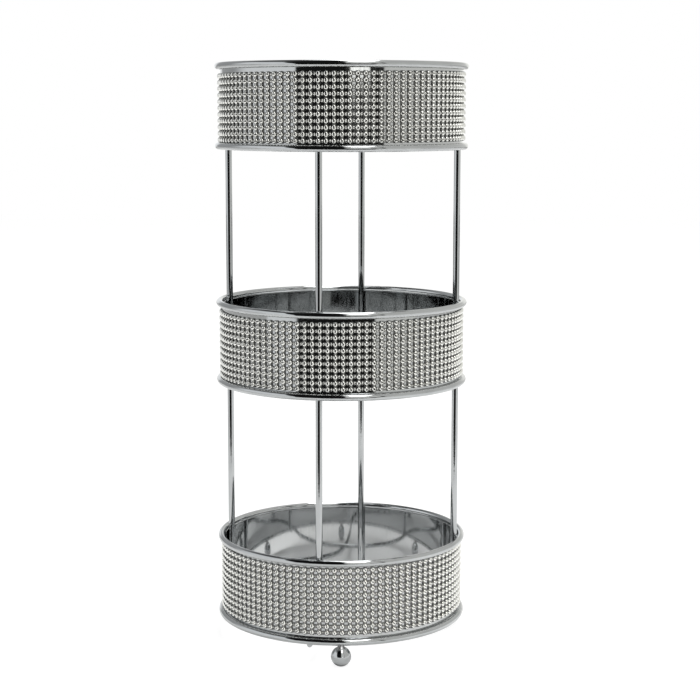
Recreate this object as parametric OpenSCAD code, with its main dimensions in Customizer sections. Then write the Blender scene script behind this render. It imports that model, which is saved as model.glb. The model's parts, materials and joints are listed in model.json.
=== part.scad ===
// Tall open tower of chrome wire: three studded bands on four uprights and three ball feet.
// Millimetres, +Z up, front towards -Y. The origin is on the floor, under the middle of the
// tower.

/* [Rings] */
// Radius of every ring, to the middle of its wire
ring_radius = 75; // [66:1:95]
// Diameter of the wire of the rings
ring_wire_d = 4; // [3:0.5:5]

/* [Bands] */
// Height of one band, between the middles of its two rings
band_height = 47.6; // [36:0.2:70]
// Height of the window above the base band, between ring middles
lower_window_height = 98.8; // [60:0.2:140]
// Height of the window below the top band, between ring middles
upper_window_height = 95.4; // [60:0.2:140]

/* [Liners] */
// Thickness of the polished strip that lines each band
liner_thickness = 0.5; // [0.3:0.1:1]

/* [Stud mesh] */
// Thickness of the mesh ribbon between its studs
mesh_thickness = 0.35; // [0.2:0.05:0.8]
// How far a stud stands out of the ribbon
stud_height = 1.35; // [0.6:0.05:2]
// How far the links between the studs of a row stand out of the ribbon
stud_link_height = 0.5; // [0.1:0.05:0.6]
// Share of the ribbon's thickness that is pressed in between four studs
mesh_pit_share = 0.55; // [0:0.05:0.7]
// Distance between two rows of studs
stud_row_pitch = 3.8; // [3:0.1:6]
// Distance between two columns of studs, along the ribbon's outer face
stud_column_pitch = 4.5; // [3.6:0.1:8]
// Ribbon left past the middle of its first and last rows
mesh_edge = 1.5; // [1:0.1:2]
// How low the top ribbon lies in the play it has between its rings, from -1 to 1
top_mesh_drop_share = 0.9; // [-1:0.05:1]
// The same for the middle ribbon
middle_mesh_drop_share = 0.15; // [-1:0.05:1]
// The same for the base ribbon
base_mesh_drop_share = -0.4; // [-1:0.05:1]

/* [Uprights] */
// Diameter of the four uprights
upright_d = 4; // [3:0.5:5]
// Turn of the four uprights from the front, to the left, in degrees
upright_turn = 10.5; // [0:0.5:35]
// How far the uprights end short of the rim and of the base ring's underside
upright_end_inset = 0.5; // [0.2:0.1:1.5]
// Chamfer on each cut end of a wire
wire_chamfer = 0.4; // [0.2:0.1:0.8]

/* [Base] */
// Diameter of the two wires that cross inside the base ring
cross_wire_d = 3.2; // [2.4:0.2:4]
// Space between a cross wire and the upright beside its end
cross_side_space = 1.6; // [0.6:0.1:4]
// How deep the lower cross wire is pressed into the underside of the base ring by its weld
cross_weld_sink = 0.9; // [0.2:0.1:1.2]
// How far the ends of the lower cross wire stop inside the middle of the ring's wire
cross_end_inset = 1; // [0:0.1:1.6]

/* [Feet] */
// Diameter of the ball feet
foot_ball_d = 12; // [9:0.5:18]
// Diameter of the flat that each ball stands on
foot_flat_d = 3; // [2:0.5:5]
// Diameter of the weld between a ball and the base ring
foot_weld_d = 4.6; // [3.6:0.2:6]
// Height of that weld at its middle
foot_weld_height = 0.45; // [0.1:0.05:1]

/* [Hidden] */
$fn = 96;

// Space left between pieces that touch, so that no two solids share any metal
contact_space = 0.04;

// Overrun of a cut past the face that it opens
overrun = 1;

// Turns round the tower: four uprights and three feet
quarter_turn = 90;
foot_step = 120;

// Half sizes of the round pieces
ring_wire_r = ring_wire_d / 2;
upright_r = upright_d / 2;
cross_wire_r = cross_wire_d / 2;
foot_ball_r = foot_ball_d / 2;

// Heights of the ring middles, from the floor up
foot_ball_z = sqrt(pow(foot_ball_r, 2) - pow(foot_flat_d / 2, 2));
base_lower_z = foot_ball_z + foot_ball_r + foot_weld_height + ring_wire_r;
base_upper_z = base_lower_z + band_height;
middle_lower_z = base_upper_z + lower_window_height;
middle_upper_z = middle_lower_z + band_height;
top_lower_z = middle_upper_z + upper_window_height;
top_upper_z = top_lower_z + band_height;

// The liner stands on the inner shoulders of its two rings, flush with their inner sides
liner_inner_r = ring_radius - ring_wire_r;
liner_outer_r = liner_inner_r + liner_thickness;
liner_shoulder = sqrt(pow(ring_wire_r, 2) - pow(ring_radius - liner_outer_r, 2)) + contact_space;

// The mesh ribbon is wrapped round the liner, between the rings
mesh_inner_r = liner_outer_r + contact_space;
mesh_outer_r = mesh_inner_r + mesh_thickness;
stud_tip_r = mesh_outer_r + stud_height;
stud_link_r = mesh_outer_r + stud_link_height;
mesh_pit_r = mesh_outer_r - mesh_pit_share * mesh_thickness;
stud_columns = round(2 * PI * mesh_outer_r / stud_column_pitch);
band_clear_height = band_height - ring_wire_d;
stud_rows = 1 + floor((band_clear_height - 2 * mesh_edge) / stud_row_pitch);
mesh_height = (stud_rows - 1) * stud_row_pitch + 2 * mesh_edge;
mesh_play = (band_clear_height - mesh_height) / 2;

// The uprights run down the inside of the rings and liners
upright_circle_r = liner_inner_r - contact_space - upright_r;
upright_bottom_z = base_lower_z - ring_wire_r + upright_end_inset;
upright_top_z = top_upper_z + ring_wire_r - upright_end_inset;

// The lower cross wire is welded under the base ring, beside the uprights, and the upper one
// lies on it and meets the ring from inside
cross_lower_z = base_lower_z - ring_wire_r - cross_wire_r + cross_weld_sink;
cross_upper_z = cross_lower_z + cross_wire_d + contact_space;
cross_turn = upright_turn + asin((upright_r + cross_wire_r + cross_side_space) / upright_circle_r);
cross_lower_reach = ring_radius - cross_end_inset;
cross_upper_reach = liner_inner_r - contact_space - cross_wire_r * cross_wire_r / (2 * liner_inner_r);

// Finishes
chrome = [0.78, 0.79, 0.81];
polished = [0.86, 0.87, 0.89];
stud_silver = [0.66, 0.67, 0.68];
weld_grey = [0.5, 0.5, 0.52];

// A closed wire ring with its middle at the height z
module wire_ring(z, extra = 0) {
    translate([0, 0, z])
        rotate_extrude()
            translate([ring_radius, 0])
                circle(r = ring_wire_r + extra);
}

// A straight wire along +Z with both cut ends chamfered
module straight_wire(wire_r, length) {
    rotate_extrude()
        polygon([
            [0, 0],
            [wire_r - wire_chamfer, 0],
            [wire_r, wire_chamfer],
            [wire_r, length - wire_chamfer],
            [wire_r - wire_chamfer, length],
            [0, length]
        ]);
}

// A polished strip between the rings at two heights
module liner(lower_z, upper_z) {
    translate([0, 0, lower_z + liner_shoulder])
        rotate_extrude()
            translate([liner_inner_r, 0])
                square([liner_thickness, upper_z - lower_z - 2 * liner_shoulder]);
}

// The points of one level of the ribbon, all round it
function level_points(radius, z, turn_shares) = [
    for (column = [0 : stud_columns - 1])
        let (turn = 360 * (column + turn_shares) / stud_columns)
            [radius * sin(turn), -radius * cos(turn), z]
];

// Two triangles for each step round the ribbon, from one level's points to the next level's
function strip_faces(lower, upper) = [
    for (column = [0 : stud_columns - 1])
        let (next = (column + 1) % stud_columns)
            each [
                [lower + column, upper + next, lower + next],
                [lower + column, upper + column, upper + next]
            ]
];

// Six triangles for each stud of a row, from its four corners and the links on both sides of it
// up to its tip
function stud_faces(lower, upper, links, tips) = [
    for (column = [0 : stud_columns - 1])
        let (next = (column + 1) % stud_columns, tip = tips + column)
            each [
                [lower + next, lower + column, tip],
                [links + next, lower + next, tip],
                [upper + next, links + next, tip],
                [upper + column, upper + next, tip],
                [links + column, upper + column, tip],
                [lower + column, links + column, tip]
            ]
];

// Height of the level below a row of studs, or above the last one
function level_z(row) =
    row == 0 ? 0
    : row == stud_rows ? mesh_height
    : mesh_edge + (row - 0.5) * stud_row_pitch;

// Radius of that level's corners, which are pits but for those on the ribbon's two edges
function level_r(row) = row == 0 || row == stud_rows ? mesh_outer_r : mesh_pit_r;

// A ribbon of studs in linked rows, closed round the liner. Its inner wall is a polygon, so it
// is set out far enough for its flats to clear the liner.
module stud_mesh(lower_z, drop_share) {
    flats_r = mesh_inner_r / cos(180 / stud_columns);
    corners = [for (row = [0 : stud_rows]) each level_points(level_r(row), level_z(row), 0)];
    links = [
        for (row = [0 : stud_rows - 1])
            each level_points(stud_link_r, mesh_edge + row * stud_row_pitch, 0)
    ];
    tips = [
        for (row = [0 : stud_rows - 1])
            each level_points(stud_tip_r, mesh_edge + row * stud_row_pitch, 0.5)
    ];
    inside = concat(level_points(flats_r, 0, 0), level_points(flats_r, mesh_height, 0));
    first_link = len(corners);
    first_tip = first_link + len(links);
    first_inside = first_tip + len(tips);
    last_inside = first_inside + stud_columns;
    studs = [
        for (row = [0 : stud_rows - 1])
            let (below = row * stud_columns)
                each stud_faces(below, below + stud_columns, first_link + below, first_tip + below)
    ];
    translate([0, 0, lower_z + ring_wire_r + mesh_play * (1 - drop_share)])
        polyhedron(
            points = concat(corners, links, tips, inside),
            faces = concat(
                studs,
                strip_faces(first_inside, 0),
                strip_faces(last_inside, first_inside),
                strip_faces(stud_rows * stud_columns, last_inside)
            )
        );
}

// One upright, turned round the tower from the front
module upright(turn) {
    rotate([0, 0, turn - upright_turn])
        translate([0, -upright_circle_r, upright_bottom_z])
            straight_wire(upright_r, upright_top_z - upright_bottom_z);
}

// A wire across the base, through the middle of the tower
module cross_wire(turn, z, reach) {
    rotate([0, 0, turn - cross_turn])
        translate([0, -reach, z])
            rotate([-quarter_turn, 0, 0])
                straight_wire(cross_wire_r, 2 * reach);
}

// One ball foot under the base ring, with the flat that it stands on
module foot_ball(turn) {
    rotate([0, 0, turn])
        translate([0, -ring_radius, 0])
            difference() {
                translate([0, 0, foot_ball_z])
                    sphere(r = foot_ball_r);
                translate([-foot_ball_r, -foot_ball_r, -foot_ball_r])
                    cube([foot_ball_d, foot_ball_d, foot_ball_r]);
            }
}

// The weld that fills the space between one ball and the base ring
module foot_weld(turn) {
    difference() {
        rotate([0, 0, turn])
            translate([0, -ring_radius, foot_ball_z])
                cylinder(d = foot_weld_d, h = base_lower_z - foot_ball_z);
        rotate([0, 0, turn])
            translate([0, -ring_radius, foot_ball_z])
                sphere(r = foot_ball_r + contact_space);
        wire_ring(base_lower_z, contact_space);
        weld_trim();
    }
}

// What a weld leaves above the widest part of the ring's wire
module weld_trim() {
    translate([0, 0, base_lower_z - ring_wire_r / 2])
        cylinder(r = ring_radius + ring_wire_r + overrun, h = ring_wire_r);
}

module top_ring_upper() {
    color(chrome) wire_ring(top_upper_z);
}

module top_ring_lower() {
    color(chrome) wire_ring(top_lower_z);
}

module middle_ring_upper() {
    color(chrome) wire_ring(middle_upper_z);
}

module middle_ring_lower() {
    color(chrome) wire_ring(middle_lower_z);
}

module base_ring_upper() {
    color(chrome) wire_ring(base_upper_z);
}

module base_ring_lower() {
    color(chrome) wire_ring(base_lower_z);
}

module top_liner() {
    color(polished) liner(top_lower_z, top_upper_z);
}

module middle_liner() {
    color(polished) liner(middle_lower_z, middle_upper_z);
}

module base_liner() {
    color(polished) liner(base_lower_z, base_upper_z);
}

module top_stud_mesh() {
    color(stud_silver) stud_mesh(top_lower_z, top_mesh_drop_share);
}

module middle_stud_mesh() {
    color(stud_silver) stud_mesh(middle_lower_z, middle_mesh_drop_share);
}

module base_stud_mesh() {
    color(stud_silver) stud_mesh(base_lower_z, base_mesh_drop_share);
}

module upright_front() {
    color(chrome) upright(0);
}

module upright_right() {
    color(chrome) upright(quarter_turn);
}

module upright_back() {
    color(chrome) upright(2 * quarter_turn);
}

module upright_left() {
    color(chrome) upright(3 * quarter_turn);
}

// The lower cross wire, saddled where its weld takes the underside of the base ring
module cross_wire_lower() {
    color(chrome)
        difference() {
            cross_wire(0, cross_lower_z, cross_lower_reach);
            wire_ring(base_lower_z, contact_space);
        }
}

module cross_wire_upper() {
    color(chrome) cross_wire(quarter_turn, cross_upper_z, cross_upper_reach);
}

module foot_ball_front() {
    color(chrome) foot_ball(0);
}

module foot_ball_right() {
    color(chrome) foot_ball(foot_step);
}

module foot_ball_left() {
    color(chrome) foot_ball(-foot_step);
}

module foot_welds() {
    color(weld_grey)
        for (turn = [0, foot_step, -foot_step])
            foot_weld(turn);
}

top_ring_upper();
top_ring_lower();
middle_ring_upper();
middle_ring_lower();
base_ring_upper();
base_ring_lower();
top_liner();
middle_liner();
base_liner();
top_stud_mesh();
middle_stud_mesh();
base_stud_mesh();
upright_front();
upright_right();
upright_back();
upright_left();
cross_wire_lower();
cross_wire_upper();
foot_ball_front();
foot_ball_right();
foot_ball_left();
foot_welds();
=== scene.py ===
"""Tall chrome tower: three studded bands on four wire uprights and three ball feet.

The packed CAD model gives the places and sizes. The pieces here stand for its nodes, with the
round wires, welds, domed studs and finishes that the real tower has.
"""

import contextlib
import json
import math

import bmesh
import bpy
from bpy.props import FloatProperty, FloatVectorProperty, IntProperty, PointerProperty
from mathutils import Matrix, Vector

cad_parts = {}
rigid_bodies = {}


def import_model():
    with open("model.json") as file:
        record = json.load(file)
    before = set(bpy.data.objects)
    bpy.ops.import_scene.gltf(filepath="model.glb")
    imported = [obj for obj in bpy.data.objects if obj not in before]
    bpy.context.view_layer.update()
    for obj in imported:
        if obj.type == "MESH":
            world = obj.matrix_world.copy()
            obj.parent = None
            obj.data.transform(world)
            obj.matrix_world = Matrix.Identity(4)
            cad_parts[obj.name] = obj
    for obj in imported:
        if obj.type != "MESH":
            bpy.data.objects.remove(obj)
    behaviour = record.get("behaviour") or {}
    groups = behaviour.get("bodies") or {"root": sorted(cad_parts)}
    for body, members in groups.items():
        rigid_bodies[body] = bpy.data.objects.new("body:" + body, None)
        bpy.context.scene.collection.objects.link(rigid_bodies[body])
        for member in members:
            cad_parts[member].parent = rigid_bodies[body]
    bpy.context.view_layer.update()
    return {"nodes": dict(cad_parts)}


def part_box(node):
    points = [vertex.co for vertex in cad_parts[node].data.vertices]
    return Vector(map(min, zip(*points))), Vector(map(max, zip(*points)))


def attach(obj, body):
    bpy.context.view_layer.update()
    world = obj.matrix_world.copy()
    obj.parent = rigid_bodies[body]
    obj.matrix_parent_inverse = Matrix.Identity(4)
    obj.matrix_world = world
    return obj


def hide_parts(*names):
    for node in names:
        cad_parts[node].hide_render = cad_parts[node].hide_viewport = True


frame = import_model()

bl_info = {
    "name": "Roll Tower",
    "version": (1, 0, 0),
    "blender": (4, 5, 0),
    "location": "View3D > Sidebar > Roll Tower",
    "description": "Builds a tall chrome tower with studded bands, and its studio",
    "category": "Object",
}

MM = 0.001
MICRON = 0.001 * MM
BODY = "root"
QUARTER_TURN = math.pi / 2

# The photograph's width in pixels, the sensor's in millimetres, and the camera's reach in metres.
IMAGE_WIDTH = 700
SENSOR_WIDTH = 36.0
CAMERA_REACH = 20.0

# Faces that meet at less than these angles are shaded as one smooth surface.
FINE_EDGE = math.radians(15)
PLAIN_EDGE = math.radians(35)
WELD_EDGE = math.radians(60)
STUD_EDGE = math.radians(65)

# Steps of the bevel that rounds the cut end of a wire, and of the one on a thinner edge.
END_BEVEL_STEPS = 3
EDGE_BEVEL_STEPS = 2

# How far a welder's flat reaches to each side of an upright, in steps round the ring.
MARK_STEPS = 1.2

# A cell of the pierced sheet starts as a grid of this many parts each way.
CELL_PARTS = 3

BANDS = ("top", "middle", "base")
RINGS = [f"{band}_ring_{edge}" for band in BANDS for edge in ("upper", "lower")]
SIDES = ("front", "right", "back", "left")
CROSS_WIRES = ("lower", "upper")
FEET = ("front", "right", "left")

# Outlines of the moulded domes from the top outwards, as shares of half the width, of half the
# length and of the rise.
STUD_OUTLINE = ((0.4, 0.4, 1.0), (0.76, 0.76, 0.76), (0.93, 0.93, 0.4), (1.0, 1.0, 0.0))
LINK_OUTLINE = ((0.62, 0.28, 1.0), (0.9, 0.85, 0.28), (1.0, 1.0, 0.0))
NECK_OUTLINE = ((0.45, 0.45, 1.0), (1.0, 1.0, 0.0))

# Outline of a foot's weld from the ring down: a share of the ball's radius from its axis, and
# millimetres above the ball's surface there.
COLLAR_OUTLINE = ((0.225, 1.1), (0.24, 0.8), (0.3, 0.42), (0.39, 0.15), (0.48, -0.05))


# Sizes and settings


def distance(name, description, millimetres):
    """A length that is typed in millimetres and kept in metres."""
    return FloatProperty(
        name=name,
        description=description,
        default=millimetres * MM,
        subtype="DISTANCE",
        unit="LENGTH",
        precision=5,
    )


def turn(name, description, degrees):
    """An angle that is typed in degrees and kept in radians."""
    return FloatProperty(
        name=name, description=description, default=math.radians(degrees), subtype="ANGLE"
    )


def shade(name, description, colour):
    return FloatVectorProperty(
        name=name, description=description, default=colour, min=0.0, max=1.0, subtype="COLOR"
    )


def count(name, description, value):
    return IntProperty(name=name, description=description, default=value, min=3)


def power(name, description, watts):
    return FloatProperty(
        name=name, description=description, default=watts, min=0.0, unit="POWER"
    )


def group(name, kind):
    """A group of settings, described by its own docstring."""
    return PointerProperty(name=name, description=kind.__doc__, type=kind)


class WireSizes(bpy.types.PropertyGroup):
    """Rings, uprights, cross wires and the welds between them"""

    ring_steps: count("Ring steps", "Steps round each ring", 256)
    wire_sides: count("Wire sides", "Sides round a wire", 32)
    end_chamfer: distance("End chamfer", "Rounding of a wire's cut ends", 0.4)
    seam_dip: distance("Seam dip", "Depth of the dressed joint where a ring closes", 0.06)
    seam_turn: turn("Seam turn", "Place of a ring's joint, from the front", 158)
    mark_depth: distance("Mark depth", "Depth of the flat that the welder leaves outside", 0.14)
    cross_turn: turn("Cross turn", "Turn of the lower cross wire from the front", -14.7)
    weld_width: distance("Weld width", "Width of the weld between two wires", 3.4)
    weld_thickness: distance("Weld thickness", "Thickness of that weld", 1.1)
    weld_segments: count("Weld segments", "Segments round that weld", 16)
    weld_rings: count("Weld rings", "Rings from pole to pole of that weld", 10)


class FootSizes(bpy.types.PropertyGroup):
    """Ball feet and the welds above them"""

    ball_segments: count("Ball segments", "Segments round a ball", 64)
    ball_rings: count("Ball rings", "Rings from pole to pole", 40)
    flat_edge: distance("Flat edge", "Rounding of the worn flat's edge", 0.15)
    collar_sides: count("Collar sides", "Sides of a weld collar", 28)


class LinerSizes(bpy.types.PropertyGroup):
    """Polished strips inside the bands"""

    steps: count("Steps", "Steps round a strip", 256)
    edge_round: distance("Edge rounding", "Rounding of a strip's edges", 0.12)


class StudSizes(bpy.types.PropertyGroup):
    """One cell of the studded ribbon, and how often it repeats"""

    columns: count("Columns", "Columns of studs round a band", 103)
    rows: count("Rows", "Rows of studs in a band", 11)
    row_pitch: distance("Row pitch", "Distance between two rows", 3.8)
    edge: distance("Edge", "Ribbon left past its first and last rows", 1.5)
    sheet: distance("Sheet", "Thickness of the ribbon between its studs", 0.35)
    stud_sides: count("Stud sides", "Sides of a stud", 10)
    stud_width: distance("Stud width", "Width of a stud", 3.0)
    stud_length: distance("Stud length", "Length of a stud along its column", 3.3)
    stud_dip: distance("Stud dip", "Depth of the dimple on top of a stud", 0.42)
    link_sides: count("Link sides", "Sides of the small dome between two studs of a row", 6)
    link_width: distance("Link width", "Width of that dome", 1.6)
    link_length: distance("Link length", "Length of that dome along its column", 2.6)
    link_rise: distance("Link rise", "How far that dome stands out", 0.52)
    link_dip: distance("Link dip", "Depth of the dimple on top of that dome", 0.2)
    neck_sides: count("Neck sides", "Sides of the low dome between two studs of a column", 6)
    neck_width: distance("Neck width", "Width of that dome", 1.9)
    neck_length: distance("Neck length", "Length of that dome along its column", 1.3)
    neck_rise: distance("Neck rise", "How far that dome stands out", 0.3)
    hole_width: distance("Hole width", "Width of an opening", 2.0)
    hole_height: distance("Hole height", "Height of an opening", 1.65)
    sunk: distance("Sunk", "How far the domes sink into the sheet", 0.03)
    top_turn: turn("Top turn", "Turn of the top ribbon round the tower", 0.25)
    top_lift: distance("Top lift", "How far the top ribbon sits up from its place", 0.55)
    middle_turn: turn("Middle turn", "Turn of the middle ribbon round the tower", 0.88)
    middle_lift: distance("Middle lift", "How far the middle ribbon sits up from its place", -0.25)
    base_turn: turn("Base turn", "Turn of the base ribbon round the tower", 0.53)
    base_lift: distance("Base lift", "How far the base ribbon sits up from its place", 0.0)
    lean: FloatProperty(
        name="Lean", description="Rise of a ribbon per length to the right", default=0.0085
    )


class FinishColours(bpy.types.PropertyGroup):
    """Colours of the finishes"""

    chrome: shade("Chrome", "Plated steel wire", (0.55, 0.564, 0.572))
    chrome_low: shade("Chrome, thin plate", "Plate where it is thinner", (0.50, 0.514, 0.522))
    liner: shade("Liner", "Polished strip", (0.55, 0.562, 0.566))
    liner_low: shade("Liner, dull", "Strip where the polish is weaker", (0.50, 0.51, 0.51))
    stud: shade("Stud", "Silver studs", (0.99, 0.99, 0.955))
    stud_low: shade("Stud, dull", "Studs with a weaker plate", (0.91, 0.91, 0.875))
    # Painted shade: this darker colour stands for the shade in the recesses between the studs.
    recess_shade: shade("Recess", "Thin, sooty plate between the studs", (0.17, 0.17, 0.165))
    # Painted shade: a dark dot that stands for the shade in the dimple on top of each stud and
    # link.
    pit: shade("Pit", "Dark dot on top of a stud or a link", (0.03, 0.03, 0.03))
    weld: shade("Weld", "Plated weld", (0.52, 0.52, 0.53))
    weld_low: shade("Weld, burnt", "Darker edge of a weld", (0.30, 0.29, 0.28))
    table: shade("Table", "Pale table under the tower", (0.84, 0.84, 0.84))
    table_low: shade("Table, dull", "Table where it is a little darker", (0.80, 0.80, 0.80))
    table_glow: shade("Table glow", "White that the table shows the camera", (0.9, 0.9, 0.9))
    table_shadow: shade("Table shadow", "Paint that takes the shadow there", (0.2, 0.2, 0.2))


class StudioSettings(bpy.types.PropertyGroup):
    """Camera, floor and lamps"""

    focal_pixels: FloatProperty(
        name="Focal length",
        description="Focal length in image pixels",
        default=1699.3,
        subtype="PIXEL",
    )
    camera_right: distance("Camera right", "Camera's place to the right", 2.0)
    camera_back: distance("Camera back", "Camera's distance from the axis", 1042.9)
    camera_height: distance("Camera height", "Camera's height above the floor", 327.2)
    camera_pitch: turn("Camera pitch", "How far the camera looks down", 8.153)
    camera_yaw: turn("Camera yaw", "How far the camera looks to the right", 0.181)
    camera_roll: turn("Camera roll", "Roll of the camera", 0.078)
    floor_front: distance("Floor front", "Front edge of the floor, from the axis", 500)
    floor_reach: distance("Floor reach", "Reach of the floor to the sides and back", 4000)
    lamp_right: distance("Lamp right", "Place of the lamps to the right", 205)
    lamp_behind: distance("Lamp behind", "Place of the lamps behind the axis", 30)
    lamp_height: distance("Lamp height", "Height of the lamps above the floor", 1700)
    lamp_width: distance("Lamp width", "Width of the lamps", 410)
    lamp_length: distance("Lamp length", "Length of the lamps from front to back", 2750)
    lamp_turn: turn("Lamp turn", "Turn of the lamps to the left", 10.8)
    box_power: power("Box power", "Power of the lamp that the metal shows", 12.5)
    fill_power: power("Fill power", "Power of the lamp that it doesn't show", 22.0)


class TowerSettings(bpy.types.PropertyGroup):
    """All sizes and colours of the tower"""

    wire: group("Wire", WireSizes)
    foot: group("Foot", FootSizes)
    liner: group("Liner", LinerSizes)
    stud: group("Stud", StudSizes)
    colour: group("Colour", FinishColours)
    studio: group("Studio", StudioSettings)


def settings():
    return bpy.context.scene.roll_tower


# Working by hand, in code


def work_on(piece, *others):
    """Select only these pieces, the first one active."""
    bpy.ops.object.select_all(action="DESELECT")
    for each in (piece, *others):
        each.select_set(True)
    bpy.context.view_layer.objects.active = piece


@contextlib.contextmanager
def editing(piece, kind="VERT"):
    """Edit mode on one piece, with nothing selected."""
    work_on(piece)
    bpy.ops.object.mode_set(mode="EDIT")
    bpy.ops.mesh.select_mode(type=kind)
    bpy.ops.mesh.select_all(action="DESELECT")
    yield
    bpy.ops.object.mode_set(mode="OBJECT")


def pick(kind, wanted):
    """Select the vertices, edges or faces for which wanted is true, and nothing else."""
    bpy.ops.mesh.select_all(action="DESELECT")
    form = bmesh.from_edit_mesh(bpy.context.object.data)
    for part in getattr(form, kind):
        if wanted(part):
            part.select_set(True)
    form.select_flush_mode()
    bmesh.update_edit_mesh(bpy.context.object.data)


def pick_all():
    bpy.ops.mesh.select_all(action="SELECT")


def resize(value, middle=(0, 0, 0)):
    """Scale what is selected about a point."""
    bpy.ops.transform.resize(value=value, center_override=middle)


def pull_out(by):
    """Extrude what is selected and move the new part."""
    bpy.ops.mesh.extrude_region_move(TRANSFORM_OT_translate={"value": by})


def close_shell():
    """Fill the open edge that is selected, and turn all faces outwards."""
    bpy.ops.mesh.edge_face_add()
    pick_all()
    bpy.ops.mesh.normals_make_consistent(inside=False)


def added(name):
    """The primitive that was just added, named, with its place in its mesh."""
    piece = bpy.context.object
    piece.name = piece.data.name = name
    work_on(piece)
    bpy.ops.object.transform_apply(location=True, rotation=True, scale=True)
    return piece


def shape_with(piece, kind, **values):
    """Add a modifier and apply it."""
    work_on(piece)
    modifier = piece.modifiers.new(kind.title(), kind)
    for name, value in values.items():
        setattr(modifier, name, value)
    bpy.ops.object.modifier_apply(modifier=modifier.name)


def joined(name, pieces):
    """One piece made of several."""
    work_on(*pieces)
    bpy.ops.object.join()
    piece = bpy.context.object
    piece.name = piece.data.name = name
    return piece


def own_copy(piece, name):
    """A copy with its own mesh."""
    work_on(piece)
    bpy.ops.object.duplicate(linked=False)
    copy = bpy.context.object
    copy.name = copy.data.name = name
    return copy


def move(piece, by, about_z=0.0):
    """Turn a piece about the tower's axis, and move it, in its mesh."""
    piece.data.transform(Matrix.Translation(by) @ Matrix.Rotation(about_z, 4, "Z"))


def finish_off(piece, finish, slot, *nodes, smooth=PLAIN_EDGE):
    """Shade a piece, give it its finish, and tie it to the frame."""
    work_on(piece)
    bpy.ops.object.shade_smooth_by_angle(angle=smooth)
    piece.data.materials.clear()
    piece.data.materials.append(finish)
    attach(piece, BODY)
    if nodes:
        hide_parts(*nodes)


def at_turn(radius, angle, height):
    """A point round the tower. The angle is from the front, to the right."""
    return Vector((radius * math.sin(angle), -radius * math.cos(angle), height))


def turn_of(point):
    """The angle of a point round the tower, from the front, to the right."""
    return math.atan2(point.x, -point.y)


def near_turn(point, angle, most):
    """Whether a point lies within an angle of a place round the tower."""
    return abs(math.remainder(turn_of(point) - angle, math.tau)) < most


def middle_of(node):
    low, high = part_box(node)
    return (low + high) / 2


def corners_of(node):
    """The vertices of a CAD node."""
    return [Vector(vertex.co) for vertex in frame["nodes"][node].data.vertices]


def inside_of(node):
    """The inner radius of a CAD node that goes round the tower."""
    return min(corner.xy.length for corner in corners_of(node))


def ring_of(node):
    """Radius to the wire's middle, wire radius and height of a CAD ring."""
    low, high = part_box(node)
    wire = (high.z - low.z) / 2
    return high.x - wire, wire, (low.z + high.z) / 2


# Finishes


# What a ramp gives when it falls instead of rising.
FADE = (1.0, 0.0)

# Places of the colour sockets among those of a Mix node.
MIX_FACTOR, MIX_FIRST, MIX_SECOND = 0, 6, 7
MIX_RESULT = 2


class WireMarks:
    """Pattern of the plated wire. Scales are per metre, and spans are of the noise."""

    patches = {"scale": 55.0, "detail": 3.0}
    waves = {"scale": 260.0}
    specks = {"scale": 2600.0, "roughness": 0.7}
    thin_span = (0.35, 0.7)
    dull_span = (0.3, 0.75)
    speck_span = (0.62, 0.8)
    wire_gloss = 0.045
    ball_gloss = 0.02
    dulling = 0.05
    speck_dulling = 0.12
    wave_bump = {"strength": 0.05, "depth": 0.4 * MM}


class LinerMarks:
    """Pattern of the polished strip"""

    streak_scales = (900.0, 900.0, 22.0)
    streaks = {"scale": 1.0, "detail": 3.0, "roughness": 0.6}
    stains = {"scale": 48.0, "detail": 4.0, "roughness": 0.6}
    wave_scales = (60.0, 60.0, 12.0)
    waves = {"scale": 1.0, "detail": 1.0}
    stain_span = (0.55, 0.75)
    stain_tone = 0.6
    streak_tone = 0.25
    dull_span = (0.3, 0.75)
    gloss = (0.035, 0.09)
    stain_dulling = 0.05
    streak_bump = {"strength": 0.03, "depth": 0.1 * MM}
    wave_bump = {"strength": 0.06, "depth": 1.2 * MM}


class StudMarks:
    """Pattern of the metallised studs"""

    each = {"scale": 230.0, "detail": 1.0}
    ripples = {"scale": 700.0, "detail": 1.0}
    wear = {"scale": 1900.0, "detail": 3.0, "roughness": 0.7}
    wear_span = (0.56, 0.78)
    pit_shade_span = (0.08, 0.5)
    # Heights over the sheet across which the painted shade of the recesses fades out, and their
    # dulling with it.
    recess_depths = (0.1 * MM, 0.52 * MM)
    tone_span = (0.35, 0.65)
    stud_tone = 0.6
    wear_tone = 0.4
    dull_span = (0.3, 0.7)
    gloss = (0.03, 0.07)
    wear_dulling = 0.05
    recess_dulling = 0.25
    stud_bump = {"strength": 0.25, "depth": 1.0 * MM}
    ripple_bump = {"strength": 0.04, "depth": 0.2 * MM}


class WeldMarks:
    """Pattern of the plated welds"""

    burns = {"scale": 700.0, "detail": 4.0, "roughness": 0.6}
    beads = {"scale": 1500.0}
    burnt_span = (0.4, 0.7)
    dull_span = (0.3, 0.7)
    gloss = (0.2, 0.42)
    bead_bump = {"strength": 0.3, "depth": 0.3 * MM}


class Value:
    """A socket whose number or colour goes on to other nodes."""

    def __init__(self, finish, socket):
        self.finish = finish
        self.socket = socket

    def maths(self, operation, *values):
        return self.finish.node(
            "ShaderNodeMath", {"operation": operation}, dict(enumerate(values))
        )

    def __add__(self, other):
        return self.maths("ADD", self, other)

    def __sub__(self, other):
        return self.maths("SUBTRACT", self, other)

    def __rsub__(self, other):
        return self.maths("SUBTRACT", other, self)

    def __mul__(self, other):
        return self.maths("MULTIPLY", self, other)

    __radd__ = __add__
    __rmul__ = __mul__


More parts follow.
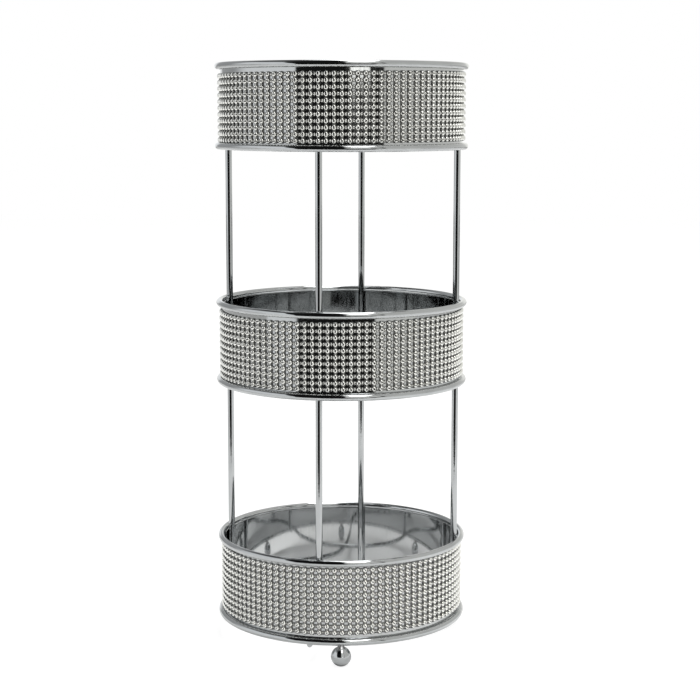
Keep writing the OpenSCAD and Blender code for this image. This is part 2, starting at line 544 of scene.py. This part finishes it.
class Finish:
    """A node tree that is laid out by its maker's calls."""

    def __init__(self, tree):
        self.tree = tree
        self.tree.nodes.clear()

    def node(self, kind, set_first=None, sockets=None, output=0):
        """Add a node, set it up, feed its sockets and return one of its outputs."""
        made = self.tree.nodes.new(kind)
        for name, value in (set_first or {}).items():
            setattr(made, name, value)
        for name, value in (sockets or {}).items():
            if isinstance(value, Value):
                self.tree.links.new(value.socket, made.inputs[name])
            elif hasattr(value, "__len__") and len(value) == 3 and made.inputs[name].type == "RGBA":
                made.inputs[name].default_value = (*value, 1.0)
            else:
                made.inputs[name].default_value = value
        return Value(self, made.outputs[output]) if len(made.outputs) else None

    def place(self):
        return self.node("ShaderNodeTexCoord", output="Object")

    def stretched(self, scales):
        """Object coordinates, scaled by different amounts along X, Y and Z."""
        return self.node("ShaderNodeMapping", {}, {"Vector": self.place(), "Scale": scales})

    def noise(self, vector, scale, detail=2.0, roughness=0.5):
        return self.node(
            "ShaderNodeTexNoise",
            {},
            {"Vector": vector, "Scale": scale, "Detail": detail, "Roughness": roughness},
        )

    def ramp(self, value, span, to=(0.0, 1.0)):
        """Map a value smoothly from one span to another."""
        return self.node(
            "ShaderNodeMapRange",
            {"interpolation_type": "SMOOTHSTEP"},
            {
                "Value": value,
                "From Min": span[0],
                "From Max": span[1],
                "To Min": to[0],
                "To Max": to[1],
            },
        )

    def window(self, value, span, soft):
        """One inside a span and nought outside it, with soft edges."""
        low, high = span
        half = soft / 2
        risen = self.ramp(value, (low - half, low + half))
        return risen * self.ramp(value, (high - half, high + half), FADE)

    def mix(self, factor, first, second, blend="MIX"):
        return self.node(
            "ShaderNodeMix",
            {"data_type": "RGBA", "blend_type": blend},
            {MIX_FACTOR: factor, MIX_FIRST: first, MIX_SECOND: second},
            MIX_RESULT,
        )

    def times(self, colour, amount):
        """A colour made brighter or darker."""
        return self.mix(1.0, colour, amount, "MULTIPLY")

    def split(self, vector):
        """The three numbers of a vector."""
        parts = self.node("ShaderNodeSeparateXYZ", {}, {"Vector": vector})
        return [Value(self, parts.socket.node.outputs[axis]) for axis in "XYZ"]

    def bump(self, height, strength, depth, below=None):
        """A normal that follows a height, over another normal where one is given."""
        sockets = {"Height": height, "Strength": strength, "Distance": depth}
        if below is not None:
            sockets["Normal"] = below
        return self.node("ShaderNodeBump", {}, sockets)


def new_finish(name):
    """A material, and its empty node tree."""
    material = bpy.data.materials.new(name)
    material.use_nodes = True
    return material, Finish(material.node_tree)


def plated(finish, colour, roughness, normal):
    """Bright metal on a Principled shader, wired to the output."""
    metal = finish.node(
        "ShaderNodeBsdfPrincipled",
        {},
        {"Base Color": colour, "Metallic": 1.0, "Roughness": roughness, "Normal": normal},
    )
    finish.node("ShaderNodeOutputMaterial", {}, {"Surface": metal})


def chrome_wire_finish(name="chrome_wire", gloss=WireMarks.wire_gloss):
    """Bright plate: faint drawn waves, thinner plate in patches and fine handling marks."""
    material, finish = new_finish(name)
    colours, marks = settings().colour, WireMarks
    patches = finish.noise(finish.place(), **marks.patches)
    waves = finish.noise(finish.place(), **marks.waves)
    specks = finish.ramp(finish.noise(finish.place(), **marks.specks), marks.speck_span)
    thin = finish.ramp(patches, marks.thin_span)
    colour = finish.mix(thin, colours.chrome, colours.chrome_low)
    dull = finish.ramp(patches, marks.dull_span, (gloss, gloss + marks.dulling))
    roughness = dull + specks * marks.speck_dulling
    plated(finish, colour, roughness, finish.bump(waves, **marks.wave_bump))
    return material


def liner_finish():
    """Rolled and polished strip: upright streaks, and dull stains."""
    material, finish = new_finish("polished_liner")
    colours, marks = settings().colour, LinerMarks
    streaks = finish.noise(finish.stretched(marks.streak_scales), **marks.streaks)
    stains = finish.ramp(finish.noise(finish.place(), **marks.stains), marks.stain_span)
    waves = finish.noise(finish.stretched(marks.wave_scales), **marks.waves)
    tone = stains * marks.stain_tone + streaks * marks.streak_tone
    colour = finish.mix(tone, colours.liner, colours.liner_low)
    dull = finish.ramp(streaks, marks.dull_span, marks.gloss)
    roughness = dull + stains * marks.stain_dulling
    grain = finish.bump(streaks, **marks.streak_bump)
    plated(finish, colour, roughness, finish.bump(waves, **marks.wave_bump, below=grain))
    return material


def stud_finish(sheet_radius):
    """Metallised studs, each a little brighter or duller, with painted shade in the recesses
    between them and a painted shade dot on each dome's top.
    """
    material, finish = new_finish("stud_mesh")
    colours, marks = settings().colour, StudMarks
    each = finish.noise(finish.place(), **marks.each)
    ripples = finish.noise(finish.place(), **marks.ripples)
    worn = finish.ramp(finish.noise(finish.place(), **marks.wear), marks.wear_span)
    # Painted shade in the dimples: the marked dome tops turn dark in the colour below.
    pit = finish.node("ShaderNodeAttribute", {"attribute_name": "pit"}, output="Fac")
    pit = finish.ramp(pit, marks.pit_shade_span)
    x, y = finish.split(finish.place())[:2]
    square = x * x + y * y
    out = square.maths("SQRT", square)
    # Painted shade in the recesses: the colour darkens close to the sheet, between the domes. The
    # same mask also makes them duller.
    deep = finish.ramp(out, [sheet_radius + depth for depth in marks.recess_depths], FADE)
    tone = finish.ramp(each, marks.tone_span) * marks.stud_tone + worn * marks.wear_tone
    bright = finish.mix(tone, colours.stud, colours.stud_low)
    colour = finish.mix(pit, finish.mix(deep, bright, colours.recess_shade), colours.pit)
    dull = finish.ramp(each, marks.dull_span, marks.gloss)
    roughness = dull + worn * marks.wear_dulling + deep * marks.recess_dulling
    uneven = finish.bump(each, **marks.stud_bump)
    plated(finish, colour, roughness, finish.bump(ripples, **marks.ripple_bump, below=uneven))
    return material


def weld_finish():
    """Plate over rough weld metal, darker where it was burnt."""
    material, finish = new_finish("weld")
    colours, marks = settings().colour, WeldMarks
    burns = finish.noise(finish.place(), **marks.burns)
    beads = finish.noise(finish.place(), **marks.beads)
    colour = finish.mix(finish.ramp(burns, marks.burnt_span), colours.weld, colours.weld_low)
    roughness = finish.ramp(burns, marks.dull_span, marks.gloss)
    plated(finish, colour, roughness, finish.bump(beads, **marks.bead_bump))
    return material


# Pieces


class ROLL_TOWER_OT_rings(bpy.types.Operator):
    """Bend the six wire rings"""

    bl_idname = "roll_tower.rings"
    bl_label = "Wire Rings"

    def execute(self, context):
        wire = settings().wire
        chrome = chrome_wire_finish()
        half_step = math.pi / wire.ring_steps
        for node in RINGS:
            radius, thick, height = ring_of(node)
            bpy.ops.mesh.primitive_torus_add(
                location=(0, 0, height),
                major_segments=wire.ring_steps,
                minor_segments=wire.wire_sides,
                major_radius=radius,
                minor_radius=thick,
            )
            ring = added(node.replace("_ring_", "_wire_ring_"))
            with editing(ring):
                self.dress_seam(radius, thick, height, wire, half_step)
                if node == "base_ring_lower":
                    self.press_marks(radius, wire, half_step)
            finish_off(ring, chrome, "chrome_wire", node)
        return {"FINISHED"}

    def dress_seam(self, radius, thick, height, wire, half_step):
        """The joint where the ring closes, dressed a little below the wire."""
        pick("verts", lambda v: near_turn(v.co, wire.seam_turn, half_step))
        waist = 1 - wire.seam_dip / thick
        resize((waist, waist, waist), at_turn(radius, wire.seam_turn, height))

    def press_marks(self, radius, wire, half_step):
        """The flats that the welder's tips leave outside the uprights."""
        outer = radius + wire.weld_thickness
        reach = MARK_STEPS * half_step
        for side in SIDES:
            angle = turn_of(middle_of(f"upright_{side}"))
            pick(
                "verts",
                lambda v: v.co.xy.length > outer and near_turn(v.co, angle, reach),
            )
            bpy.ops.transform.translate(value=at_turn(-wire.mark_depth, angle, 0))


class ROLL_TOWER_OT_uprights(bpy.types.Operator):
    """Cut the four uprights and chamfer their ends"""

    bl_idname = "roll_tower.uprights"
    bl_label = "Uprights"

    def execute(self, context):
        chrome = chrome_wire_finish("chrome_upright")
        for side in SIDES:
            node = f"upright_{side}"
            low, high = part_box(node)
            radius = (high.x - low.x) / 2
            rod = straight_wire(
                f"{side}_upright_wire", radius, high.z - low.z, middle_of(node)
            )
            finish_off(rod, chrome, "chrome_wire", node, smooth=FINE_EDGE)
        return {"FINISHED"}


def straight_wire(name, radius, length, middle, rotation=(0, 0, 0)):
    """A wire along its own Z axis, with rounded cut ends."""
    wire = settings().wire
    bpy.ops.mesh.primitive_cylinder_add(
        vertices=wire.wire_sides, radius=radius, depth=length, end_fill_type="NGON"
    )
    rod = bpy.context.object
    end = length / 2 - wire.end_chamfer
    with editing(rod, "EDGE"):
        for side in (-1, 1):
            pick("edges", lambda e: all(side * v.co.z > end for v in e.verts))
            bpy.ops.mesh.bevel(offset=wire.end_chamfer, segments=END_BEVEL_STEPS)
    rod.location = middle
    rod.rotation_euler = rotation
    return added(name)


class ROLL_TOWER_OT_cross_wires(bpy.types.Operator):
    """Lay the two cross wires of the base"""

    bl_idname = "roll_tower.cross_wires"
    bl_label = "Cross Wires"

    def execute(self, context):
        chrome = chrome_wire_finish("chrome_cross_wire")
        wire = settings().wire
        for level, angle in zip(CROSS_WIRES, (wire.cross_turn, wire.cross_turn + QUARTER_TURN)):
            node = f"cross_wire_{level}"
            corners = corners_of(node)
            along = at_turn(1.0, angle, 0)
            across = Vector((-along.y, along.x, 0))
            reach = max(corner.dot(along) for corner in corners)
            radius = max(corner.dot(across) for corner in corners)
            middle = Vector((0, 0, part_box(node)[0].z + radius))
            rod = straight_wire(
                f"{level}_cross_wire", radius, 2 * reach, middle, (QUARTER_TURN, 0, angle)
            )
            finish_off(rod, chrome, "chrome_wire", node, smooth=FINE_EDGE)
        return {"FINISHED"}


class ROLL_TOWER_OT_liners(bpy.types.Operator):
    """Roll the three polished strips"""

    bl_idname = "roll_tower.liners"
    bl_label = "Liners"

    def execute(self, context):
        sizes = settings().liner
        polished = liner_finish()
        for band in BANDS:
            node = f"{band}_liner"
            low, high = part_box(node)
            bpy.ops.mesh.primitive_cylinder_add(
                vertices=sizes.steps,
                radius=high.x,
                depth=high.z - low.z,
                end_fill_type="NOTHING",
                location=(0, 0, (low.z + high.z) / 2),
            )
            strip = added(f"{band}_liner_strip")
            shape_with(strip, "SOLIDIFY", thickness=high.x - inside_of(node), offset=-1.0)
            shape_with(
                strip,
                "BEVEL",
                width=sizes.edge_round,
                segments=EDGE_BEVEL_STEPS,
                limit_method="ANGLE",
            )
            finish_off(strip, polished, "polished_liner", node, smooth=FINE_EDGE)
        return {"FINISHED"}


class ROLL_TOWER_OT_stud_ribbons(bpy.types.Operator):
    """Mould one cell of the studded ribbon, repeat it and wrap it round the bands"""

    bl_idname = "roll_tower.stud_ribbons"
    bl_label = "Stud Ribbons"

    def execute(self, context):
        sizes = settings().stud
        self.sheet_radius = inside_of("top_stud_mesh") + sizes.sheet
        self.stud_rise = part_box("top_stud_mesh")[1].x - self.sheet_radius
        self.pitch = math.tau * self.sheet_radius / sizes.columns
        self.top = (sizes.rows - 1) * sizes.row_pitch + 2 * sizes.edge
        silver = stud_finish(self.sheet_radius)
        ribbon = joined("stud_ribbon", [self.sheet(sizes), self.domes(sizes)])
        for band in BANDS:
            node = f"{band}_stud_mesh"
            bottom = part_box(node)[0].z
            copy = own_copy(ribbon, f"{band}_stud_ribbon")
            around = getattr(sizes, f"{band}_turn")
            move(copy, (0, 0, bottom + getattr(sizes, f"{band}_lift")), around)
            self.lean(copy, sizes.lean)
            finish_off(copy, silver, "stud_mesh", node, smooth=STUD_EDGE)
        bpy.data.objects.remove(ribbon)
        return {"FINISHED"}

    def lean(self, ribbon, rise):
        """Let a ribbon climb a little to the right, as it was wrapped."""
        slope = Matrix.Identity(4)
        slope[2][0] = rise
        ribbon.data.transform(slope)

    def sheet(self, sizes):
        """The pierced sheet: one cross-shaped cell, repeated, trimmed, wrapped and thickened."""
        bpy.ops.mesh.primitive_grid_add(
            x_subdivisions=CELL_PARTS,
            y_subdivisions=CELL_PARTS,
            size=1.0,
            rotation=(QUARTER_TURN, 0, 0),
        )
        cell = added("sheet_cell")
        part_width, part_height = self.pitch / CELL_PARTS, sizes.row_pitch / CELL_PARTS
        with editing(cell, "FACE"):
            pick_all()
            resize((self.pitch, 1, sizes.row_pitch))
            pick("faces", lambda f: self.in_corner(f, part_width, part_height))
            bpy.ops.mesh.delete(type="FACE")
        with editing(cell):
            pick("verts", lambda v: abs(v.co.x) < part_width)
            resize(((self.pitch - sizes.hole_width) / part_width, 1, 1))
            pick("verts", lambda v: abs(v.co.z) < part_height)
            resize((1, 1, (sizes.row_pitch - sizes.hole_height) / part_height))
        self.repeat(cell, sizes, merge=True)
        with editing(cell, "FACE"):
            for height, outer in ((0.0, False), (self.top, True)):
                pick_all()
                bpy.ops.mesh.bisect(
                    plane_co=(0, 0, height),
                    plane_no=(0, 0, 1),
                    clear_inner=not outer,
                    clear_outer=outer,
                )
        self.wrap(cell)
        with editing(cell):
            pick_all()
            bpy.ops.mesh.remove_doubles(threshold=MICRON)
        shape_with(cell, "SOLIDIFY", thickness=sizes.sheet, offset=-1.0)
        return cell

    def in_corner(self, face, part_width, part_height):
        """Whether a face of the cell is one of its four corner parts."""
        middle = face.calc_center_median()
        return abs(middle.x) > part_width / 2 and abs(middle.z) > part_height / 2

    def domes(self, sizes):
        """The stud, the link beside it and the neck above it, repeated and wrapped."""
        stud = self.dome(
            sizes.stud_sides, STUD_OUTLINE, sizes.stud_width, sizes.stud_length, self.stud_rise
        )
        link = self.dome(
            sizes.link_sides, LINK_OUTLINE, sizes.link_width, sizes.link_length, sizes.link_rise
        )
        neck = self.dome(
            sizes.neck_sides, NECK_OUTLINE, sizes.neck_width, sizes.neck_length, sizes.neck_rise
        )
        self.dimple(stud, sizes.stud_dip)
        self.dimple(link, sizes.link_dip)
        move(link, (self.pitch / 2, 0, 0))
        move(neck, (0, 0, sizes.row_pitch / 2))
        cell = joined("dome_cell", [stud, link, neck])
        self.repeat(cell, sizes)
        past_last_row = self.top + sizes.neck_length / 2
        with editing(cell):
            pick("verts", lambda v: v.co.z > past_last_row)
            bpy.ops.mesh.select_linked()
            bpy.ops.mesh.delete(type="VERT")
        self.wrap(cell)
        return cell

    def dome(self, sides, outline, width, length, rise):
        """A dome that stands out of the sheet towards the front, closed at its back."""
        across, along, height = outline[0]
        bpy.ops.mesh.primitive_circle_add(
            vertices=sides,
            radius=1.0,
            fill_type="TRIFAN",
            location=(0, -height, 0),
            rotation=(QUARTER_TURN, 0, 0),
        )
        dome = added("dome")
        sunk = settings().stud.sunk
        with editing(dome, "EDGE"):
            pick_all()
            resize((across, 1, along))
            pick("edges", lambda e: e.is_boundary)
            for wider, longer, lower in outline[1:]:
                pull_out((0, height - lower, 0))
                resize((wider / across, 1, longer / along))
                across, along, height = wider, longer, lower
            close_shell()
            resize((width / 2, rise + sunk, length / 2))
            bpy.ops.transform.translate(value=(0, sunk, 0))
        return dome

    def dimple(self, dome, depth):
        """Press in the middle of a dome's top, and mark it for a dot of painted shade in the
        finish.
        """
        near = settings().stud.sunk
        with editing(dome):
            pick("verts", lambda v: v.co.xz.length < near)
            bpy.ops.transform.translate(value=(0, depth, 0))
        dots = dome.data.attributes.new("pit", "FLOAT", "POINT")
        for vertex, dot in zip(dome.data.vertices, dots.data):
            if vertex.co.xz.length < near:
                dot.value = 1.0

    def repeat(self, cell, sizes, merge=False):
        """Copies of a cell in columns, centred on the front, and in rows from the bottom up."""
        move(cell, (-(sizes.columns - 1) / 2 * self.pitch, 0, sizes.edge))
        for times, step in (
            (sizes.columns, (self.pitch, 0, 0)),
            (sizes.rows, (0, 0, sizes.row_pitch)),
        ):
            shape_with(
                cell,
                "ARRAY",
                count=times,
                use_relative_offset=False,
                use_constant_offset=True,
                constant_offset_displace=step,
                use_merge_vertices=merge,
                merge_threshold=MICRON,
            )

    def wrap(self, strip):
        """Bend a flat strip round the tower's axis, its front outwards."""
        places = [v.co.x for v in strip.data.vertices]
        shape_with(
            strip,
            "SIMPLE_DEFORM",
            deform_method="BEND",
            deform_axis="Z",
            angle=(max(places) - min(places)) / self.sheet_radius,
        )
        move(strip, (0, -self.sheet_radius, 0))


class ROLL_TOWER_OT_ball_feet(bpy.types.Operator):
    """Turn the three ball feet and grind the flats that they stand on"""

    bl_idname = "roll_tower.ball_feet"
    bl_label = "Ball Feet"

    def execute(self, context):
        sizes = settings().foot
        chrome = chrome_wire_finish("chrome_ball", WireMarks.ball_gloss)
        for side in FEET:
            node = f"foot_ball_{side}"
            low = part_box(node)[0]
            radius, middle = ball_of(side)
            bpy.ops.mesh.primitive_uv_sphere_add(
                segments=sizes.ball_segments,
                ring_count=sizes.ball_rings,
                radius=radius,
                location=middle,
            )
            ball = added(f"{side}_ball_foot")
            with editing(ball, "FACE"):
                pick_all()
                bpy.ops.mesh.bisect(
                    plane_co=(0, 0, low.z),
                    plane_no=(0, 0, 1),
                    clear_inner=True,
                    use_fill=True,
                    threshold=MICRON,
                )
            with editing(ball, "EDGE"):
                pick("edges", lambda e: all(v.co.z < low.z + MICRON for v in e.verts))
                bpy.ops.mesh.bevel(offset=sizes.flat_edge, segments=EDGE_BEVEL_STEPS)
            finish_off(ball, chrome, "chrome_ball", node)
        return {"FINISHED"}


def ball_of(side):
    """Radius and middle of a ball foot, which its flat cuts short at the bottom."""
    node = f"foot_ball_{side}"
    low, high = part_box(node)
    radius = (high.x - low.x) / 2
    return radius, Vector((*middle_of(node).xy, high.z - radius))


class ROLL_TOWER_OT_welds(bpy.types.Operator):
    """Run the welds of the feet and the uprights"""

    bl_idname = "roll_tower.welds"
    bl_label = "Welds"

    def execute(self, context):
        plate = weld_finish()
        collars = joined("foot_weld_collars", [self.collar(side) for side in FEET])
        finish_off(collars, plate, "weld", "foot_welds", smooth=WELD_EDGE)
        beads = joined("upright_welds", self.upright_beads())
        finish_off(beads, chrome_wire_finish("chrome_weld"), "weld", smooth=WELD_EDGE)
        return {"FINISHED"}

    def collar(self, side):
        """A fillet that runs from the ring's underside out on to the ball."""
        radius, ball = ball_of(side)
        steps = [
            (share * radius, ball.z + math.sqrt(1 - share**2) * radius + lift * MM)
            for share, lift in COLLAR_OUTLINE
        ]
        wide, height = steps[0]
        bpy.ops.mesh.primitive_circle_add(
            vertices=settings().foot.collar_sides,
            radius=wide,
            fill_type="NGON",
            location=(*ball.xy, height),
        )
        collar = added(f"{side}_collar")
        with editing(collar, "EDGE"):
            pick_all()
            for wider, lower in steps[1:]:
                pull_out((0, 0, lower - height))
                resize((wider / wide, wider / wide, 1), (*ball.xy, lower))
                wide, height = wider, lower
            close_shell()
        return collar

    def upright_beads(self):
        """A small squeezed-out bead wherever an upright crosses a ring, from a unit ball."""
        wire = settings().wire
        beads = []
        for node in RINGS:
            radius, thick, height = ring_of(node)
            for side in SIDES:
                angle = turn_of(middle_of(f"upright_{side}"))
                bpy.ops.mesh.primitive_uv_sphere_add(
                    segments=wire.weld_segments,
                    ring_count=wire.weld_rings,
                    radius=1 / 2,
                    location=at_turn(radius - thick, angle, height),
                    rotation=(QUARTER_TURN, 0, angle),
                    scale=(wire.weld_width, wire.weld_width, wire.weld_thickness),
                )
                beads.append(added("bead"))
        return beads


# Studio


class RoomChart:
    """The room that the metal shows. Turns are degrees to the right from straight behind the
    camera, heights are degrees above the horizon, and levels are shares of plain white.
    """

    middle_turns = (-4.0, 4.0)
    left_turns = (-124.0, -96.0)
    left_levels = (0.42, 0.97)
    left_top_heights = (31.0, 54.0)
    left_top_levels = (1.0, 0.12)
    right_heights = (4.0, 16.0)
    right_levels = (0.8, 0.68)
    backdrop_turns = (150.0, 160.0)
    backdrop_heights = (8.0, 18.0)
    gap_left_turns = (-44.0, -41.0)
    gap_right_turns = (38.5, 41.5)
    gap_lean = 0.45
    gap_foot_heights = (-7.0, -1.0)
    gap_foot_turn = 8.0
    gap_darkness = 0.988
    gap_top_heights = (60.0, 75.0)
    gap_top_levels = (1.0, 0.8)
    panel_turns = (4.0, 37.0)
    panel_soft = 3.0
    panel_heights = (1.0, 5.0)
    panel_level = 0.8
    card_turns = (8.0, 26.0)
    card_turn_soft = 2.0
    card_heights = (0.9, 4.0)
    card_height_soft = 0.3
    card_level = 2.2
    left_tint = (0.985, 1.0, 1.01)
    right_tint = (1.0, 1.0, 0.965)
    white = (1.0, 1.0, 1.0)


TABLE_GRAIN = {"scale": 9.0, "detail": 3.0}


class ROLL_TOWER_OT_studio(bpy.types.Operator):
    """Set up the floor, the light and the camera"""

    bl_idname = "roll_tower.studio"
    bl_label = "Studio"

    def execute(self, context):
        self.floor()
        self.room()
        self.lamps()
        self.camera(context.scene)
        context.scene.view_settings.view_transform = "Standard"
        return {"FINISHED"}

    def floor(self):
        """A pale table that the camera sees as white, with the tower's shadow on it."""
        studio, colours = settings().studio, settings().colour
        bpy.ops.mesh.primitive_plane_add(size=2.0)
        table = bpy.context.object
        table.scale = (studio.floor_reach, studio.floor_reach, 1)
        table = added("table")
        with editing(table):
            pick("verts", lambda v: v.co.y < 0)
            bpy.ops.transform.translate(value=(0, studio.floor_reach - studio.floor_front, 0))
        material, finish = new_finish("table_white")
        grain = finish.noise(finish.place(), **TABLE_GRAIN)
        paint = finish.mix(grain, colours.table_low, colours.table)
        matt = finish.node("ShaderNodeBsdfDiffuse", {}, {"Color": paint})
        faint = finish.node("ShaderNodeBsdfDiffuse", {}, {"Color": colours.table_shadow})
        white = finish.node("ShaderNodeEmission", {}, {"Color": colours.table_glow})
        seen = finish.node("ShaderNodeAddShader", {}, {0: faint, 1: white})
        camera = finish.node("ShaderNodeLightPath", output="Is Camera Ray")
        surface = finish.node("ShaderNodeMixShader", {}, {0: camera, 1: matt, 2: seen})
        finish.node("ShaderNodeOutputMaterial", {}, {"Surface": surface})
        table.data.materials.append(material)

    def room(self):
        """White to the camera. The metal shows two pale walls, a white backdrop that starts low
        behind the tower, and a dark gap round the camera with a grey panel and a white card.
        """
        chart = RoomChart
        world = bpy.data.worlds.new("studio")
        bpy.context.scene.world = world
        world.use_nodes = True
        finish = Finish(world.node_tree)
        x, y, z = finish.split(finish.node("ShaderNodeTexCoord", output="Generated"))
        azimuth = x.maths("ARCTAN2", x, y * -1.0) * math.degrees(1)
        height = z.maths("ARCSINE", z) * math.degrees(1)
        left = finish.ramp(azimuth, chart.left_turns, chart.left_levels)
        left *= finish.ramp(height, chart.left_top_heights, chart.left_top_levels)
        right = finish.ramp(height, chart.right_heights, chart.right_levels)
        side = finish.ramp(azimuth, chart.middle_turns)
        backdrop = finish.ramp(azimuth.maths("ABSOLUTE", azimuth), chart.backdrop_turns)
        backdrop *= finish.ramp(height, chart.backdrop_heights, FADE)
        leaning = azimuth + height.maths("MAXIMUM", height, 0.0) * chart.gap_lean
        spread = azimuth + finish.ramp(height, chart.gap_foot_heights, (chart.gap_foot_turn, 0.0))
        gap = finish.ramp(leaning, chart.gap_left_turns) * finish.ramp(
            spread, chart.gap_right_turns, (chart.gap_darkness, 0.0)
        )
        gap *= finish.ramp(height, chart.gap_top_heights, chart.gap_top_levels)
        panel = finish.window(azimuth, chart.panel_turns, chart.panel_soft)
        panel = panel * finish.ramp(height, chart.panel_heights) * chart.panel_level
        card = finish.window(azimuth, chart.card_turns, chart.card_turn_soft) * finish.window(
            height, chart.card_heights, chart.card_height_soft
        )
        walls = (left * (1.0 - side) + right * side) * (1.0 - backdrop) + backdrop
        level = walls * (1.0 - gap) + panel * gap + card * chart.card_level
        tint = finish.mix(side, chart.left_tint, chart.right_tint)
        camera = finish.node("ShaderNodeLightPath", output="Is Camera Ray")
        seen = finish.mix(camera, finish.times(tint, level), chart.white)
        light = finish.node("ShaderNodeBackground", {}, {"Color": seen})
        finish.node("ShaderNodeOutputWorld", {}, {"Surface": light})

    def lamps(self):
        """A long soft box overhead, and a fill in the same place that the metal doesn't show."""
        studio = settings().studio
        for name, watts, shows in (
            ("overhead_box", studio.box_power, True),
            ("overhead_fill", studio.fill_power, False),
        ):
            bpy.ops.object.light_add(
                type="AREA",
                location=(studio.lamp_right, studio.lamp_behind, studio.lamp_height),
                rotation=(0, 0, studio.lamp_turn),
            )
            lamp = bpy.context.object
            lamp.name = lamp.data.name = name
            lamp.data.shape = "RECTANGLE"
            lamp.data.size = studio.lamp_width
            lamp.data.size_y = studio.lamp_length
            lamp.data.energy = watts
            lamp.visible_camera = False
            lamp.visible_glossy = shows

    def camera(self, scene):
        """The photograph's viewpoint."""
        studio = settings().studio
        bpy.ops.object.camera_add(
            location=(studio.camera_right, -studio.camera_back, studio.camera_height)
        )
        camera = bpy.context.object
        camera.name = "photograph_camera"
        facing = (
            Matrix.Rotation(-studio.camera_yaw, 3, "Z")
            @ Matrix.Rotation(QUARTER_TURN - studio.camera_pitch, 3, "X")
            @ Matrix.Rotation(studio.camera_roll, 3, "Z")
        )
        camera.rotation_euler = facing.to_euler()
        camera.data.sensor_width = SENSOR_WIDTH
        camera.data.lens = SENSOR_WIDTH * studio.focal_pixels / IMAGE_WIDTH
        camera.data.clip_end = CAMERA_REACH
        scene.camera = camera


# Panel and run


STEPS = (
    ROLL_TOWER_OT_rings,
    ROLL_TOWER_OT_uprights,
    ROLL_TOWER_OT_cross_wires,
    ROLL_TOWER_OT_liners,
    ROLL_TOWER_OT_stud_ribbons,
    ROLL_TOWER_OT_ball_feet,
    ROLL_TOWER_OT_welds,
    ROLL_TOWER_OT_studio,
)


class VIEW3D_PT_roll_tower(bpy.types.Panel):
    """Sidebar panel of the tower's makers"""

    bl_label = "Roll Tower"
    bl_idname = "VIEW3D_PT_roll_tower"
    bl_space_type = "VIEW_3D"
    bl_region_type = "UI"
    bl_category = "Roll Tower"

    def draw(self, context):
        for step in STEPS:
            self.layout.operator(step.bl_idname)
        for part in TowerSettings.__annotations__:
            sizes = getattr(settings(), part)
            box = self.layout.box()
            for name in sizes.__annotations__:
                box.prop(sizes, name)


CLASSES = (
    WireSizes,
    FootSizes,
    LinerSizes,
    StudSizes,
    FinishColours,
    StudioSettings,
    TowerSettings,
    *STEPS,
    VIEW3D_PT_roll_tower,
)


def register():
    for each in CLASSES:
        bpy.utils.register_class(each)
    bpy.types.Scene.roll_tower = group("Roll Tower", TowerSettings)


def unregister():
    del bpy.types.Scene.roll_tower
    for each in reversed(CLASSES):
        bpy.utils.unregister_class(each)


def main():
    register()
    for step in STEPS:
        family, name = step.bl_idname.split(".")
        getattr(getattr(bpy.ops, family), name)()


if __name__ == "__main__":
    main()
